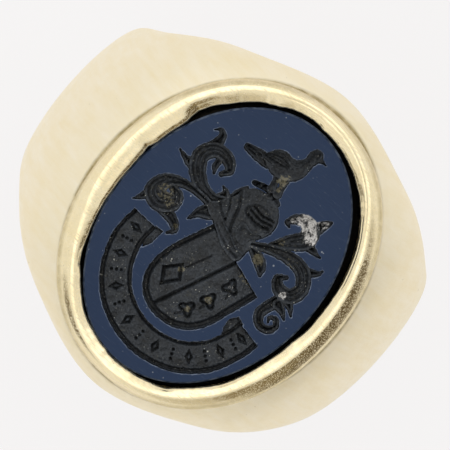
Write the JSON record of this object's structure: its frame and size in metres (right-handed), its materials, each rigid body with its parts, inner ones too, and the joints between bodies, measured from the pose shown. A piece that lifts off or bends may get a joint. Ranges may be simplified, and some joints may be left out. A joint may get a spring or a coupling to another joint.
{
  "type": "signet ring",
  "caption": "Heavy gold signet ring with tapering shoulders and an oval rub-over collet holding a blue-over-black layered stone engraved for sealing.",
  "frame": {"origin": "middle of the finger hole, on its axis", "axes": "+Y along the finger hole and the stone's long axis, +Z from the finger to the seal face, +X from shoulder to shoulder"},
  "size_m": [0.0226, 0.0204, 0.0242],
  "materials": {
    "gold": "polished, worn to a soft satin",
    "stone_blue": "polished, lightly scratched",
    "stone_black": "polished bevel, matt in the engraving",
    "cement": "matt"
  },
  "bodies": {
    "root": {"hoop": "gold", "collet": "gold", "back_plate": "gold", "bearer": "gold", "cement_bed": "cement", "stone_black_layer": "stone_black", "stone_blue_layer": "stone_blue"}
  },
  "joints": []
}
